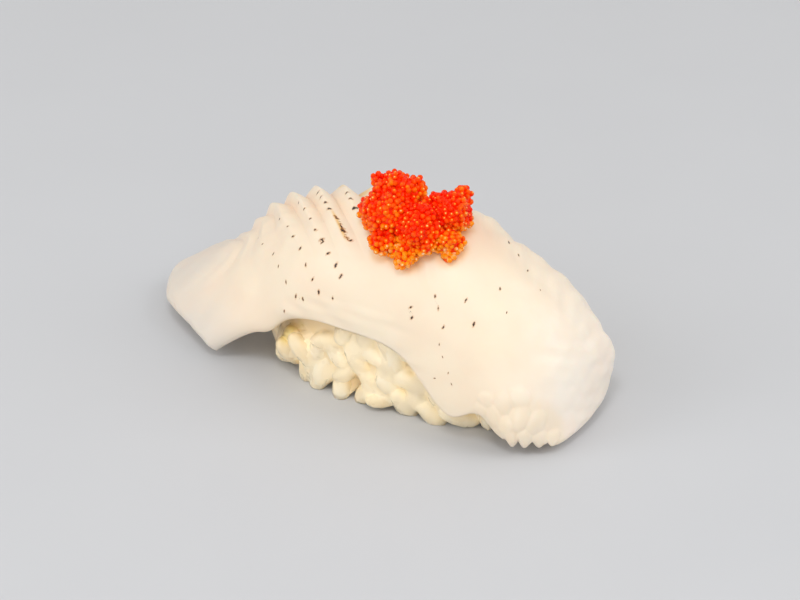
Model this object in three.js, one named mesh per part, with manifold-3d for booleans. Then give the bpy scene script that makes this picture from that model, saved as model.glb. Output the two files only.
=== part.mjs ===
// Squid nigiri: a scored, lightly seared slice of squid draped over a loaf of pressed rice, with a heap of
// small roe on its crown. Millimetres, +Z up, +X along the loaf towards the slice's rounded heel, -Y towards
// the side where the rice shows.
import * as THREE from "three";
import { ConvexGeometry } from "three/addons/geometries/ConvexGeometry.js";
import { mergeVertices } from "three/addons/utils/BufferGeometryUtils.js";
import Module from "manifold-3d";

const wasm = await Module();
wasm.setup();

// The loaf of pressed rice, lying along X with its flat foot down, and the plump grains that show on its
// sides, laid in rows that go round it.
const LOAF = {
  middle: -2.5,
  halfLength: 25.2,
  halfWidth: 13.7,
  belly: 9.0,
  rise: 16.0,
  power: 2.4,
  detail: 5,
  corners: 48,
};
const GRAIN = {
  length: 6.6,
  width: 3.3,
  uneven: 0.2,
  plump: 0.62,
  sides: 6,
  rings: 4,
  sunk: 0.2,
  tilt: 0.5,
  tries: 4,
};
const ROWS = { first: 1.5, rise: 2.9, count: 5, step: 6.0, stray: 0.4 };
const FOOT = { length: 140, width: 80, depth: 20 }; // what is cut away below the flat foot

// The slice: stations from the tongue's tip to the heel, each with its near edge, its far edge, its crown's
// height and how far the crown stands out along X.
const STATIONS = [
  { near: [-34.0, -14.3, 2.0], far: [-46.6, 7.4, 4.2], crown: 4.2, bulge: -8.9 },
  { near: [-27.0, -13.6, 6.6], far: [-44.0, 11.0, 4.6], crown: 12.8, bulge: -1.6 },
  { near: [-18.5, -14.5, 12.0], far: [-35.0, 13.5, 9.5], crown: 23.8, bulge: 0 },
  { near: [-9.0, -15.8, 14.0], far: [-22.0, 15.0, 13.0], crown: 28.1, bulge: 0 },
  { near: [2.5, -16.4, 13.0], far: [-5.0, 14.0, 16.0], crown: 30.4, bulge: 0 },
  { near: [11.5, -16.6, 4.5], far: [10.0, 12.5, 17.5], crown: 26.7, bulge: 0.6 },
  { near: [21.7, -16.0, 2.3], far: [25.5, 10.0, 8.2], crown: 15.0, bulge: 2.6 },
  { near: [27.0, -12.4, 1.7], far: [25.5, 9.5, 1.5], crown: 1.2, bulge: 2.6 },
];
// Where the near edge hangs lower or is lifted: the share along the slice, the reach and the rise.
const HEM = [
  { place: 0.205, reach: 0.035, rise: -1.1 },
  { place: 0.776, reach: 0.04, rise: 3.2 },
];
// Where the far shoulder swells or dips at a cut, as above.
const SWELL = [
  { place: 0.655, reach: 0.025, rise: 0.6 },
  { place: 0.701, reach: 0.022, rise: -1.3 },
  { place: 0.786, reach: 0.025, rise: 0.8 },
  { place: 0.852, reach: 0.025, rise: -1.0 },
];
const SHOULDER = { from: 0.1, full: 0.6 };
const SLICE = {
  thickness: 4.4,
  edgeThinning: 0.3,
  edgePower: 8,
  endRounding: 0.02,
  bluntEnd: 0.5,
  archAngle: 1.42,
  corner: 0.04,
};

// The score cuts across the slice: rows of teeth that open from the tongue on, gape on the shoulder, slant
// and close towards the near edge. Places are shares of the slice's length and, from -1 to 1, of its width.
const SCORE = {
  pitch: 0.058,
  crest: 0.412,
  depth: 1.9,
  start: 0.05,
  full: 0.31,
  end: 0.56,
  fade: 0.06,
  near: -0.6,
  far: 0.1,
};
// How the cut lines spread on the far side, from a pivot, and the stretch of the slice where they do.
const SPREAD = { size: 0.129, pivot: 0.366, wide: 0.4, from: 0.02, full: 0.12, ease: 0.5, end: 0.62 };
const SLANT = { size: 0.19, full: 0.3, ease: 0.45, bend: 0.2, fan: 0.15, pivot: 0.262, wide: 0.5 };
const STEP = { scored: SCORE.pitch / 4, from: SCORE.crest - 5 * SCORE.pitch, plain: 0.03, across: 18 };
const ROOMY = { along: 30, across: 14, gaps: 1.5, reach: 0.08 }; // the room kept clear round the slice
const SAMPLE = { along: 0.02, across: 0.1 };

// The nubs of crossed cuts at the heel's near corner, by share along, share across and size: the small ones
// hang from the edge as teeth.
const NUB = { wide: 1.4, tall: 1.8, deep: 1.3, sunk: 0.95, sides: 6, rings: 4 };
const NUBS = [
  [0.79, -0.93, 1.0],
  [0.872, -0.87, 1.0],
  [0.93, -0.86, 1.05],
  [0.958, -0.7, 0.95],
  [0.752, -0.88, 1.25],
  [0.822, -0.78, 1.35],
  [0.89, -0.7, 1.25],
  [0.778, -0.73, 1.3],
];

// The heap of roe: clumps of eggs, each with its share along and across the slice's face, its height over
// the face and its radius, and the eggs' own size as bumps on their uneven skins.
const EGG = { pitch: 1.0, rise: 0.42, facets: 0.77, lump: 0.5, wave: 1.1 };
const CLUMPS = [
  [0.484, -0.22, 2.0, 4.5],
  [0.530, -0.10, 4.0, 2.0],
  [0.511, -0.10, 5.0, 2.0],
  [0.491, -0.105, 4.4, 1.9],
  [0.481, -0.10, 5.4, 1.15],
  [0.440, -0.195, 1.2, 1.7],
  [0.447, -0.395, 1.2, 2.3],
  [0.486, -0.445, 1.0, 1.9],
  [0.534, -0.27, 1.8, 3.7],
  [0.600, -0.085, 2.0, 3.4],
  [0.617, 0.025, 3.8, 1.75],
  [0.634, 0.01, 1.2, 1.3],
  [0.603, -0.235, 1.2, 2.4],
  [0.599, -0.30, 0.8, 1.2],
  [0.427, -0.445, 0.6, 1.0],
  [0.581, -0.075, 3.0, 1.8],
];

const GAP = 0.3; // clear space kept between the pieces
const WELD = 1e-3; // corners closer than this become one
const PASSES = 3;
const SEED = 7;

const COLOURS = {
  rice: { color: 0xf3e2c0, roughness: 0.45, metalness: 0 },
  squid: { color: 0xfbead6, roughness: 0.4, metalness: 0 },
  roe: { color: 0xf5480a, roughness: 0.25, metalness: 0 },
};

const lerp = THREE.MathUtils.lerp;
const smooth = THREE.MathUtils.smoothstep;

// A repeatable stream of draws from 0 to 1.
function draws(seed) {
  let state = seed;
  return () => {
    state = (state * 1664525 + 1013904223) % 4294967296;
    return state / 4294967296;
  };
}

// A closed geometry as a solid that can be joined and cut; corners closer than the weld become one.
function solidOf(geometry, weld = 1e-4) {
  const bare = new THREE.BufferGeometry().setAttribute("position", geometry.getAttribute("position"));
  bare.setIndex(geometry.index);
  const merged = mergeVertices(bare, weld);
  return new wasm.Manifold(
    new wasm.Mesh({
      numProp: 3,
      vertProperties: merged.attributes.position.array,
      triVerts: new Uint32Array(merged.index.array),
    }),
  );
}

// The outer skin of a solid's largest body, as a geometry; loose scraps and sealed hollows are dropped.
function skinOf(solid) {
  const bodies = solid.decompose().sort((a, b) => b.volume() - a.volume());
  const mesh = bodies[0].getMesh();
  return new THREE.BufferGeometry()
    .setAttribute("position", new THREE.BufferAttribute(new Float32Array(mesh.vertProperties), 3))
    .setIndex(new THREE.BufferAttribute(new Uint32Array(mesh.triVerts), 1));
}

function joined(solids) {
  return solids.reduce((whole, piece) => whole.add(piece));
}

const railOf = (points) => new THREE.CatmullRomCurve3(points, false, "catmullrom", 0.5);
const NEAR_RAIL = railOf(STATIONS.map((s) => new THREE.Vector3(...s.near)));
const FAR_RAIL = railOf(STATIONS.map((s) => new THREE.Vector3(...s.far)));
const CROWN_RAIL = railOf(STATIONS.map((s) => new THREE.Vector3(s.bulge, 0, s.crown)));

// The sum of bell-shaped rises at a place along the slice.
function waves(list, place) {
  return list.reduce((sum, w) => sum + w.rise * Math.exp(-(((place - w.place) / w.reach) ** 2)), 0);
}

// The slice's outer face: u runs from the tip to the heel, v from the near edge to the far one. Each section
// is an arch of two elliptic quarters that meet at the crown. On the near side it leans with the score cuts,
// and on the far side the cuts draw together.
function facePoint(u, v) {
  const lean = smooth(u, 0, SLANT.full) * (1 - smooth(u, SLANT.ease, 1));
  const nearness = (Math.hypot(v, SLANT.bend) - v) / 2;
  const drawnIn = SLANT.fan * (u - SLANT.pivot) * smooth(v, 0, SLANT.wide);
  const place = THREE.MathUtils.clamp(u + lean * (SLANT.size * nearness - drawnIn), 0, 1);
  const near = NEAR_RAIL.getPoint(place);
  near.z += waves(HEM, place);
  const far = FAR_RAIL.getPoint(place);
  const crown = CROWN_RAIL.getPoint(place);
  const edge = v < 0 ? near : far;
  const angle = Math.abs(v) * SLICE.archAngle;
  const out = Math.sin(angle) / Math.sin(SLICE.archAngle);
  const down = (1 - Math.cos(angle)) / (1 - Math.cos(SLICE.archAngle));
  const shoulder = smooth(v, SHOULDER.from, SHOULDER.full);
  return new THREE.Vector3(
    lerp((near.x + far.x) / 2, edge.x, out) + crown.x * (1 - v * v),
    lerp((near.y + far.y) / 2, edge.y, out),
    lerp(crown.z, edge.z, down) + shoulder * waves(SWELL, place),
  );
}

// The face's outward normal, from two short steps along it, taken a little way in from its corners.
function faceNormal(place, acrossPlace) {
  const h = 1e-3;
  const u = THREE.MathUtils.clamp(place, SLICE.corner, 1 - SLICE.corner);
  const v = THREE.MathUtils.clamp(acrossPlace, 2 * SLICE.corner - 1, 1 - 2 * SLICE.corner);
  const along = facePoint(u + h, v).sub(facePoint(u - h, v));
  const across = facePoint(u, v + h).sub(facePoint(u, v - h));
  return along.cross(across).normalize();
}

// Where a cut line runs: its share along the slice at each place across.
function lineAt(line, v) {
  const stretch = smooth(line, SPREAD.from, SPREAD.full) * (1 - smooth(line, SPREAD.ease, SPREAD.end));
  const spread = SPREAD.size * stretch * smooth(v, 0, SPREAD.wide);
  return (line - SPREAD.pivot * spread) / (1 - spread);
}

// How deep the score cuts lie on a line: a row of teeth with sharp valleys.
function scoreDepth(line, v) {
  const along = smooth(line, SCORE.start, SCORE.full) * smooth(SCORE.end - line, 0, SCORE.fade);
  const across = smooth(v, SCORE.near, SCORE.far);
  const valley = 1 - Math.abs(Math.cos((Math.PI * (line - SCORE.crest)) / SCORE.pitch));
  return SCORE.depth * along * across * valley;
}

// Half the slice's thickness at a place, thinner at its long edges.
function halfThickness(v) {
  return 0.5 * SLICE.thickness * (1 - SLICE.edgeThinning * v * v);
}

// How full the slice is at a place: it is rounded off at its long edges and at both ends.
function fullness(u, v) {
  const nearEnd = Math.min(1, Math.min(u, 1 - u) / SLICE.endRounding);
  const end = lerp(SLICE.bluntEnd, 1, Math.sqrt(nearEnd * (2 - nearEnd)));
  return end * Math.sqrt(Math.max(0, 1 - Math.abs(v) ** SLICE.edgePower));
}

// Stations along the slice, close together where it is scored.
function stationList() {
  const list = [0, SLICE.endRounding / 2];
  const last = 1 - SLICE.endRounding;
  for (let line = SLICE.endRounding; line < STEP.from - STEP.plain / 2; line += STEP.plain) list.push(line);
  for (let line = STEP.from; line < SCORE.end; line += STEP.scored) list.push(line);
  for (let line = SCORE.end; line < last - STEP.plain / 2; line += STEP.plain) list.push(line);
  return [...list, last, 1 - SLICE.endRounding / 2, 1];
}

// The slice as a closed skin: at each station a loop over the outer face and back along the underside, which
// follows the cut lines. Extra grows it on both faces and past its long edges, and a depth of 0 leaves the
// score cuts out.
function sliceGeometry(stations, count, extra, depth) {
  const loop = 2 * count;
  const vertices = [];
  for (const line of stations) {
    for (let k = 0; k < loop; k++) {
      const top = k <= count;
      const share = top ? k / count : 2 - k / count;
      const v = (share - 0.5 - 0.5 * Math.cos(Math.PI * share)) * (1 + ROOMY.reach * extra);
      const u = lineAt(line, v);
      const normal = faceNormal(u, v);
      const middle = facePoint(u, v).addScaledVector(normal, -halfThickness(v));
      const half = halfThickness(v) * fullness(u, v) + extra;
      const rise = top ? half - Math.min(depth * scoreDepth(line, v), half) : -half;
      vertices.push(...middle.addScaledVector(normal, rise).toArray());
    }
  }
  const faces = [];
  for (let i = 0; i + 1 < stations.length; i++) {
    for (let k = 0; k < loop; k++) {
      const a = i * loop + k;
      const b = i * loop + ((k + 1) % loop);
      faces.push(a, a + loop, b, b, a + loop, b + loop);
    }
  }
  const last = (stations.length - 1) * loop;
  for (let k = 0; k < count; k++) {
    const across = [k, k + 1, (loop - k - 1) % loop, (loop - k) % loop];
    const [a, b, c, d] = across;
    faces.push(a, b, c, a, c, d);
    faces.push(last + a, last + c, last + b, last + a, last + d, last + c);
  }
  return new THREE.BufferGeometry()
    .setAttribute("position", new THREE.Float32BufferAttribute(vertices, 3))
    .setIndex(faces);
}

// One nub: a ball with its height across the slice, sunk into the face at a place.
function nubAt(u, v, size) {
  const normal = faceNormal(u, v);
  const tall = facePoint(u, v + 0.02).sub(facePoint(u, v - 0.02)).normalize();
  const turn = new THREE.Matrix4().makeBasis(tall.clone().cross(normal), tall, normal);
  const { x, y, z } = facePoint(u, v).addScaledVector(normal, -NUB.sunk * size);
  const ball = new THREE.SphereGeometry(size, NUB.sides, NUB.rings).scale(NUB.wide, NUB.tall, NUB.deep);
  return ball.applyMatrix4(turn).translate(x, y, z);
}

// The slice: the slab with its cuts, and the nubs fused on.
function squidSolid() {
  const slab = solidOf(sliceGeometry(stationList(), STEP.across, 0, 1));
  return joined([slab, ...NUBS.map((nub) => solidOf(nubAt(...nub)))]);
}

// The room that the slice takes up, with the clear space around it.
const EVEN = Array.from({ length: ROOMY.along + 1 }, (_, i) => i / ROOMY.along);
const ROOM = solidOf(sliceGeometry(EVEN, ROOMY.across, ROOMY.gaps * GAP, 0));

// A sample of places on the slice's middle sheet, each with the half thickness there.
const SHEET = [];
for (let u = 0; u <= 1; u += SAMPLE.along) {
  for (let v = -1; v <= 1; v += SAMPLE.across) {
    const half = halfThickness(v);
    SHEET.push({ place: facePoint(u, v).addScaledVector(faceNormal(u, v), -half), half });
  }
}

// How far a place stands clear of the slice.
function clearance(place) {
  return SHEET.reduce((least, s) => Math.min(least, place.distanceTo(s.place) - s.half), Infinity);
}

// The loaf's core: a squared-off egg shape.
function loafCore() {
  const core = new THREE.IcosahedronGeometry(1, LOAF.detail);
  const position = core.getAttribute("position");
  const way = new THREE.Vector3();
  for (let i = 0; i < position.count; i++) {
    way.fromBufferAttribute(position, i);
    const parts = [way.x / LOAF.halfLength, way.y / LOAF.halfWidth, way.z / LOAF.rise];
    const size = parts.reduce((sum, t) => sum + Math.abs(t) ** LOAF.power, 0) ** (-1 / LOAF.power);
    way.multiplyScalar(size);
    position.setXYZ(i, way.x + LOAF.middle, way.y, way.z + LOAF.belly);
  }
  return solidOf(core);
}

// The loaf's outward normal at a place on its side.
function loafNormal(place) {
  const slope = (t, half) => (Math.sign(t) * Math.abs(t / half) ** (LOAF.power - 1)) / half;
  return new THREE.Vector3(
    slope(place.x - LOAF.middle, LOAF.halfLength),
    slope(place.y, LOAF.halfWidth),
    slope(place.z - LOAF.belly, LOAF.rise),
  ).normalize();
}

// The loaf's outline at a height, as a closed curve.
function loafRing(height) {
  const size = (1 - Math.abs((height - LOAF.belly) / LOAF.rise) ** LOAF.power) ** (1 / LOAF.power);
  const swell = (t) => Math.sign(t) * Math.abs(t) ** (2 / LOAF.power);
  const points = Array.from({ length: LOAF.corners }, (_, i) => {
    const turn = (2 * Math.PI * i) / LOAF.corners;
    const x = LOAF.middle + LOAF.halfLength * size * swell(Math.cos(turn));
    return new THREE.Vector3(x, LOAF.halfWidth * size * swell(Math.sin(turn)), height);
  });
  return new THREE.CatmullRomCurve3(points, true);
}

// A ball of rings and sides, fuller towards its ends than a true one.
function plumpBall(sides, rings) {
  const ball = new THREE.SphereGeometry(1, sides, rings);
  const position = ball.getAttribute("position");
  for (let i = 0; i < position.count; i++) {
    const reach = Math.hypot(position.getX(i), position.getZ(i));
    const fuller = reach > 1e-6 ? reach ** (GRAIN.plump - 1) : 0;
    position.setXYZ(i, position.getX(i) * fuller, position.getY(i), position.getZ(i) * fuller);
  }
  return ball;
}

// One grain, lying on the loaf at a place and turned about the normal there, or nothing where the slice
// leaves no room for it.
function grainAt(place, draw) {
  const normal = loafNormal(place);
  const level = new THREE.Vector3(0, 0, 1).cross(normal).normalize();
  const size = 1 + GRAIN.uneven * (draw() - 0.5);
  const half = 0.5 * GRAIN.length * size;
  const thick = 0.5 * GRAIN.width * size;
  const centre = place.clone().addScaledVector(normal, -GRAIN.sunk * thick);
  for (let attempt = 0; attempt < GRAIN.tries; attempt++) {
    const along = level.clone().applyAxisAngle(normal, Math.PI * draw());
    along.addScaledVector(normal, GRAIN.tilt * (draw() - 0.5)).normalize();
    const ends = [-0.6, 0, 0.6].map((t) => centre.clone().addScaledVector(along, t * half));
    if (ends.every((end) => clearance(end) > thick + GAP)) {
      const side = along.clone().cross(normal).normalize();
      const turn = new THREE.Matrix4().makeBasis(side, along, side.clone().cross(along));
      const grain = plumpBall(GRAIN.sides, GRAIN.rings).scale(thick, half, thick);
      return grain.applyMatrix4(turn).translate(centre.x, centre.y, centre.z);
    }
  }
  return null;
}

// The rice: the core with its grains fused on, cleared from the slice and cut level at its foot.
function riceSolid() {
  const draw = draws(SEED);
  const pieces = [loafCore()];
  for (let row = 0; row < ROWS.count; row++) {
    const ring = loafRing(ROWS.first + row * ROWS.rise);
    const count = Math.round(ring.getLength() / ROWS.step);
    for (let i = 0; i < count; i++) {
      const turn = (i + (row % 2) / 2 + ROWS.stray * draw()) / count;
      const grain = grainAt(ring.getPointAt(turn % 1), draw);
      if (grain) pieces.push(solidOf(grain));
    }
  }
  const below = new THREE.BoxGeometry(FOOT.length, FOOT.width, FOOT.depth);
  return joined(pieces).subtract(ROOM).subtract(solidOf(below.translate(0, 0, -FOOT.depth / 2)));
}

// A lumpy ball of even facets whose corners stand out as eggs wherever no other egg is near.
function eggBall(radius) {
  const count = Math.round((4 * Math.PI * radius ** 2) / (0.866 * EGG.facets ** 2));
  const points = Array.from({ length: count }, (_, k) => {
    const turn = k * Math.PI * (3 - Math.sqrt(5));
    const z = 1 - (2 * k + 1) / count;
    const flat = Math.sqrt(1 - z * z);
    return new THREE.Vector3(flat * Math.cos(turn), flat * Math.sin(turn), z);
  });
  const eggs = [];
  for (const point of points) {
    if (eggs.every((egg) => egg.distanceTo(point) * radius > EGG.pitch)) eggs.push(point);
  }
  const ball = new ConvexGeometry(points);
  const position = ball.getAttribute("position");
  const corner = new THREE.Vector3();
  for (let i = 0; i < position.count; i++) {
    corner.fromBufferAttribute(position, i);
    const egg = eggs.some((e) => e.distanceToSquared(corner) < 1e-8);
    const [a, b, c] = corner.toArray().map((t, axis) => Math.sin((t * radius) / EGG.wave + axis));
    corner.multiplyScalar(radius + EGG.lump * a * b * c + (egg ? EGG.rise : 0));
    position.setXYZ(i, corner.x, corner.y, corner.z);
  }
  return ball;
}

// The roe: its clumps fused into one heap and fitted to the slice's crown.
function roeSolid() {
  const clumps = CLUMPS.map(([u, v, height, radius]) => {
    const { x, y, z } = facePoint(u, v).addScaledVector(faceNormal(u, v), height);
    return solidOf(eggBall(radius).translate(x, y, z));
  });
  return joined(clumps).subtract(ROOM);
}

// The three pieces, set down with the middle of their common box over the origin.
const nigiri = new THREE.Group();
const solids = {
  rice: riceSolid(),
  squid: squidSolid(),
  roe: roeSolid(),
};
const box = new THREE.Box3();
for (const solid of Object.values(solids)) {
  box.union(new THREE.Box3().setFromBufferAttribute(skinOf(solid).getAttribute("position")));
}
const centre = box.getCenter(new THREE.Vector3());
for (const [name, solid] of Object.entries(solids)) {
  let skin = skinOf(solid).translate(-centre.x, -centre.y, -box.min.z);
  for (let pass = 0; pass < PASSES; pass++) skin = skinOf(solidOf(skin, WELD));
  const mesh = new THREE.Mesh(skin, new THREE.MeshStandardMaterial(COLOURS[name]));
  mesh.name = name;
  nigiri.add(mesh);
}

export default nigiri;
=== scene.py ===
import bpy
import numpy as np
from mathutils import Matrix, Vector


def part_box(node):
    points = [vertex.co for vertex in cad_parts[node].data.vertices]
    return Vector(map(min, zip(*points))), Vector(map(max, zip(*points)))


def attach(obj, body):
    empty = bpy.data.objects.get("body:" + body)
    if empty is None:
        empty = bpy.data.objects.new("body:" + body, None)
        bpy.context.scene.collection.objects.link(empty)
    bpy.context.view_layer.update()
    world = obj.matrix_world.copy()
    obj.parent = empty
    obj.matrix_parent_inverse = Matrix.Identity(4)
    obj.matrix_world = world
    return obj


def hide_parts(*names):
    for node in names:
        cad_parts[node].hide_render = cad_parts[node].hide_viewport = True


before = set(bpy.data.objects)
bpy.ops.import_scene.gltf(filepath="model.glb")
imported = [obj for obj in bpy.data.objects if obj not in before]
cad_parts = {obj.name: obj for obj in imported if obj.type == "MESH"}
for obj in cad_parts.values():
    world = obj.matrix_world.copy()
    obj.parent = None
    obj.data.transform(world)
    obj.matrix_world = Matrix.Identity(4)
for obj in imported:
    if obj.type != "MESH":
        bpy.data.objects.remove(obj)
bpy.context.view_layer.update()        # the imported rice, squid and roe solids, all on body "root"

mm = 0.001  # shapes are worked out in millimetres and stored in metres
print("frame loaded:", sorted(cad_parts))


# eased step: 0 below a, 1 above b, 3t^2 - 2t^3 between them
def ease(x, a, b):
    t = np.clip((x - a) / (b - a), 0.0, 1.0)
    return t * t * (3.0 - 2.0 * t)


# a band: 0 below a and above d, 1 from b to c, eased between them
def between(x, a, b, c, d):
    return ease(x, a, b) * (1.0 - ease(x, c, d))


# soft unevenness: sine waves of one wavelength in seeded directions, added up, mostly between -1 and 1
def ripple(points, wavelength, seed, waves=8):
    draw = np.random.default_rng(seed)
    way = draw.normal(size=(waves, 3))
    way *= 2.0 * np.pi / wavelength / np.linalg.norm(way, axis=1, keepdims=True)
    phase = draw.uniform(0.0, 2.0 * np.pi, waves)
    return np.sin(points @ way.T + phase).sum(axis=-1) / np.sqrt(waves)


# screen colour of 0 to 255 as the shader's linear colour: ((c + 0.055) / 1.055)^2.4, or c / 12.92 when dark
def screen(*rgb):
    c = np.array(rgb) / 255.0
    linear = np.where(c > 0.04045, ((c + 0.055) / 1.055) ** 2.4, c / 12.92)
    return (*linear.tolist(), 1.0)


# one mesh piece: points in mm, faces as arrays of polygons with equal numbers of corners, and attributes with
# a number or a vector for each vertex
def makePiece(name, points, faceSets, attributes, material):
    corners = np.concatenate([faces.ravel() for faces in faceSets]).astype(np.int32)
    sizes = np.concatenate([np.full(len(faces), faces.shape[1]) for faces in faceSets])
    starts = (np.cumsum(sizes) - sizes).astype(np.int32)
    mesh = bpy.data.meshes.new(name)
    mesh.vertices.add(len(points))
    mesh.vertices.foreach_set("co", (points * mm).astype(np.float32).ravel())
    mesh.loops.add(len(corners))
    mesh.loops.foreach_set("vertex_index", corners)
    mesh.polygons.add(len(sizes))
    mesh.polygons.foreach_set("loop_start", starts)
    mesh.update(calc_edges=True)
    mesh.polygons.foreach_set("use_smooth", np.ones(len(sizes), dtype=bool))
    for key, values in attributes.items():
        values = np.asarray(values, dtype=np.float32)
        kind, field = ("FLOAT", "value") if values.ndim == 1 else ("FLOAT_VECTOR", "vector")
        mesh.attributes.new(key, kind, "POINT").data.foreach_set(field, values.ravel())
    mesh.validate()
    mesh.materials.append(material)
    piece = bpy.data.objects.new(name, mesh)
    bpy.context.scene.collection.objects.link(piece)
    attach(piece, "root")
    triangles = int((sizes - 2).sum())
    print(f"{name}: {len(points)} vertices, {triangles} triangles")
    return piece


# closed ball of unit radius, rings between two poles on z: (sin t cos a, sin t sin a, cos t), with quads
# between the rings and triangles at the poles, all facing outwards
def ballGrid(sides, rings):
    turn, tip = np.meshgrid(np.arange(sides) * 2 * np.pi / sides, np.arange(1, rings) * np.pi / rings)
    body = np.stack([np.sin(tip) * np.cos(turn), np.sin(tip) * np.sin(turn), np.cos(tip)], axis=-1)
    points = np.concatenate([body.reshape(-1, 3), [[0, 0, 1], [0, 0, -1]]])
    i, j = np.meshgrid(np.arange(rings - 2), np.arange(sides), indexing="ij")
    a, b = i * sides + j, i * sides + (j + 1) % sides
    bands = np.stack([a, a + sides, b + sides, b], axis=-1).reshape(-1, 4)
    j = np.arange(sides)
    top, low = len(points) - 2, len(points) - 1
    last = (rings - 2) * sides
    caps = [np.stack([np.full(sides, top), j, (j + 1) % sides], axis=-1),
            np.stack([np.full(sides, low), last + (j + 1) % sides, last + j], axis=-1)]
    return points, [bands, np.concatenate(caps)]


# the same faces for every copy of a shape, their corners numbered on from the first by the shape's size
def repeated(faceSets, count, size, first=0):
    step = first + size * np.arange(count)[:, None, None]
    return [(faces[None] + step).reshape(-1, faces.shape[1]) for faces in faceSets]


# a node with its settings and plain input values
def addNode(tree, kind, inputs=None, **settings):
    node = tree.nodes.new(kind)
    for key, value in settings.items():
        setattr(node, key, value)
    for key, value in (inputs or {}).items():
        node.inputs[key].default_value = value
    return node


# colour by a number, in straight lines from stop to stop
def addRamp(tree, source, stops):
    node = tree.nodes.new("ShaderNodeValToRGB")
    band = node.color_ramp.elements
    while len(band) < len(stops):
        band.new(0.5)
    for element, (place, colour) in zip(band, stops):
        element.position = place
        element.color = colour
    tree.links.new(source, node.inputs["Fac"])
    return node.outputs["Color"]


# mix of two colours, a + factor (b - a); a and b are sockets or plain colours
def addMix(tree, factor, a, b):
    node = addNode(tree, "ShaderNodeMix", data_type="RGBA")
    tree.links.new(factor, node.inputs["Factor"])
    for socket, value in ((node.inputs[6], a), (node.inputs[7], b)):
        if isinstance(value, tuple):
            socket.default_value = value
        else:
            tree.links.new(value, socket)
    return node.outputs[2]


# a number carried from one range to another, eased at both ends
def addRange(tree, source, low, high, outLow=0.0, outHigh=1.0):
    values = {"From Min": low, "From Max": high, "To Min": outLow, "To Max": outHigh}
    node = addNode(tree, "ShaderNodeMapRange", values, interpolation_type="SMOOTHSTEP")
    tree.links.new(source, node.inputs["Value"])
    return node.outputs["Result"]


# one operation on two numbers, such as their sum or their product
def addMath(tree, operation, a, b):
    node = addNode(tree, "ShaderNodeMath", operation=operation)
    tree.links.new(a, node.inputs[0])
    tree.links.new(b, node.inputs[1])
    return node.outputs["Value"]


# cloudy noise from 0 to 1, its scale in clouds a metre
def addNoise(tree, place, scale, detail=3.0):
    node = addNode(tree, "ShaderNodeTexNoise", {"Scale": scale, "Detail": detail})
    tree.links.new(place, node.inputs["Vector"])
    return node.outputs["Fac"]


# a normal tilted by a height's slope, over another bump where there is one; the distance is in metres
def addBump(tree, height, strength, distance, under=None):
    node = addNode(tree, "ShaderNodeBump", {"Strength": strength, "Distance": distance})
    tree.links.new(height, node.inputs["Height"])
    if under is not None:
        tree.links.new(under, node.inputs["Normal"])
    return node.outputs["Normal"]


# a fresh material: its tree, its shader with plain socket values, and the object's own coordinates
def newFinish(name, sockets):
    material = bpy.data.materials.new(name)
    material.use_nodes = True
    tree = material.node_tree
    shader = tree.nodes["Principled BSDF"]
    for key, value in sockets.items():
        shader.inputs[key].default_value = value
    place = tree.nodes.new("ShaderNodeTexCoord").outputs["Object"]
    return material, tree, shader, place


# an attribute's number at each place of the mesh
def attributeOf(tree, name):
    return addNode(tree, "ShaderNodeAttribute", attribute_name=name).outputs["Fac"]


# the slice, from the tongue's tip to the heel: its two long edges, the crown's height and its reach along x
squidShape = {
    "near": [(-34.0, -14.3, 2.0), (-27.0, -13.6, 6.6), (-18.5, -14.5, 12.0), (-9.0, -15.8, 14.0),
             (2.5, -16.4, 13.0), (11.5, -16.6, 4.5), (21.7, -16.0, 2.3), (27.0, -12.4, 1.7)],
    "far": [(-46.6, 7.4, 4.2), (-44.0, 11.0, 4.6), (-35.0, 13.5, 9.5), (-22.0, 15.0, 13.0),
            (-5.0, 14.0, 16.0), (10.0, 12.5, 17.5), (25.5, 10.0, 8.2), (25.5, 9.5, 1.5)],
    "crown": [4.2, 12.8, 23.8, 28.1, 30.4, 26.7, 15.0, 1.2],
    "bulge": [-8.9, -1.6, 0.0, 0.0, 0.0, 0.6, 2.6, 2.6],
    "hem": [(0.205, 0.035, -1.1), (0.776, 0.04, 3.2)],  # the near edge hangs or is lifted: place, reach, rise
    "swell": [(0.655, 0.025, 0.6), (0.701, 0.022, -1.3), (0.786, 0.025, 0.8), (0.852, 0.025, -0.3)],
    "shoulder": (0.1, 0.6),  # the swells lie on the far shoulder
    "tipCut": (2.5, 0.12),   # how far the tongue's end is cut back on the near side, mm, and its reach
    "tipCorner": (0.2, 0.35),
    "tipFade": (0.6, 0.75, 1.0),  # the cut is less by this share at the edge, and from where to where
    "thickness": 4.4,
    "edgeThinning": 0.3,
    "nearThinning": 0.5,     # the near edge over the rice is thinner
    "thinAcross": (0.6, 1.0),
    "thinAlong": (0.15, 0.3, 0.55, 0.7),
    "edgePower": 8,
    "endRounding": 0.02,
    "bluntEnd": 0.5,
    "archAngle": 1.42,
    "corner": 0.04,      # normals are taken this far in from the corners
    "step": 1e-3,        # slopes are taken over steps as short as this
    "lean": 0.19,        # how far the sections lean with the cuts on the near side
    "leanAlong": (0.0, 0.3, 0.45, 1.0),
    "leanBend": 0.2,
    "fan": 0.15,         # how much the cuts draw together on the far side
    "fanPivot": 0.262,
    "fanWide": 0.5,
    "stationMarks": ([0, 0.03, 0.09, 0.72, 0.97, 1], [0, 0.02, 0.12, 0.6, 0.98, 1]),  # closer where scored
    "plainGrid": (201, 121),
    "stations": 376,
    "across": 200,
    "under": 40,
}


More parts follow.
